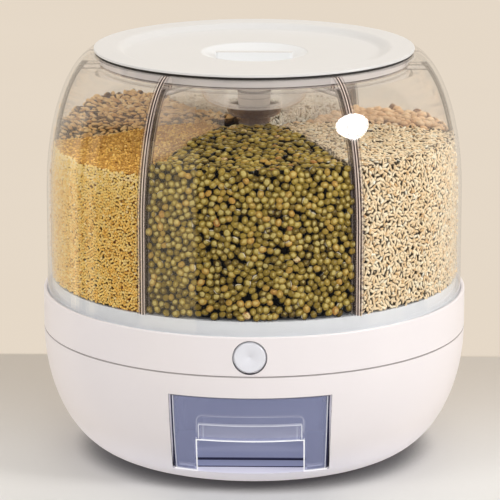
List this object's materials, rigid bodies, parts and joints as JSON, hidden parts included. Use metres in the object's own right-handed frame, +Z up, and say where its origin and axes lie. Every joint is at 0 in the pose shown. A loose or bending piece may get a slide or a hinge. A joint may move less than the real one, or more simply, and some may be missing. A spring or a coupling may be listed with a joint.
{
  "type": "rice dispenser",
  "caption": "Round grain dispenser: clear domed turntable hopper with wedge compartments on a white base, press button with sliding gate, clear drawer and lift-off lid.",
  "frame": {"origin": "middle of the footprint, on the worktop plane under the feet", "axes": "+Z up along the turntable's axis; the front with the button and the drawer faces -Y; +X to the right seen from the front"},
  "size_m": [0.265, 0.265, 0.256],
  "materials": {
    "base_white": "satin warm white moulded plastic",
    "lid_white": "satin white moulded plastic",
    "tray_white": "white moulded plastic",
    "inner_white": "plain white moulded plastic, unseen",
    "clear_dome": "polished clear plastic",
    "clear_drawer": "polished clear plastic with a blue tint",
    "seal_silicone": "translucent grey silicone",
    "cartridge_grey": "grey fibre and plastic pot",
    "foot_rubber": "soft grey rubber",
    "steel": "bright steel"
  },
  "bodies": {
    "base": {"base_bowl": "base_white", "base_ring": "base_white", "deck_plate": "inner_white", "rubber_feet": "foot_rubber", "base_screws": "steel", "drawer_bay": "inner_white", "gate_guide": "inner_white", "guide_screws": "steel", "return_spring": "steel", "button_guide": "inner_white", "bearing_balls": "steel", "ball_cage": "inner_white", "axle_stud": "inner_white", "hub_washer": "steel", "hub_screw": "steel"},
    "hopper": {"hopper_floor": "tray_white", "grain_funnel_1": "tray_white", "grain_funnel_2": "tray_white", "grain_funnel_3": "tray_white", "grain_funnel_4": "tray_white", "grain_funnel_5": "tray_white", "grain_funnel_6": "tray_white", "hopper_shell": "clear_dome", "partition": "clear_dome", "hub_cap": "clear_dome"},
    "lid": {"lid_disc": "lid_white", "lid_skirt": "lid_white", "lid_seal": "seal_silicone", "lid_gasket": "seal_silicone", "desiccant_cup": "clear_dome", "desiccant_cartridge": "cartridge_grey"},
    "button": {"button_cap": "base_white", "gate_plate": "inner_white"},
    "drawer": {"drawer_box": "clear_drawer"}
  },
  "joints": [
    {"name": "hopper_spin", "type": "hinge", "parent": "base", "child": "hopper", "pos_m": [0, 0, 0.1], "axis": [0, 0, 1], "continuous": true},
    {"name": "lid_lift", "type": "slide", "parent": "hopper", "child": "lid", "axis": [0, 0, 1], "range_m": [0, 0.12]},
    {"name": "button_press", "type": "slide", "parent": "base", "child": "button", "axis": [0, 1, 0], "range_m": [0, 0.01], "stiffness_N_per_m": 200, "springref_m": -0.005, "deforming": ["return_spring"]},
    {"name": "drawer_pull", "type": "slide", "parent": "base", "child": "drawer", "axis": [0, -1, 0], "range_m": [0, 0.085]}
  ]
}
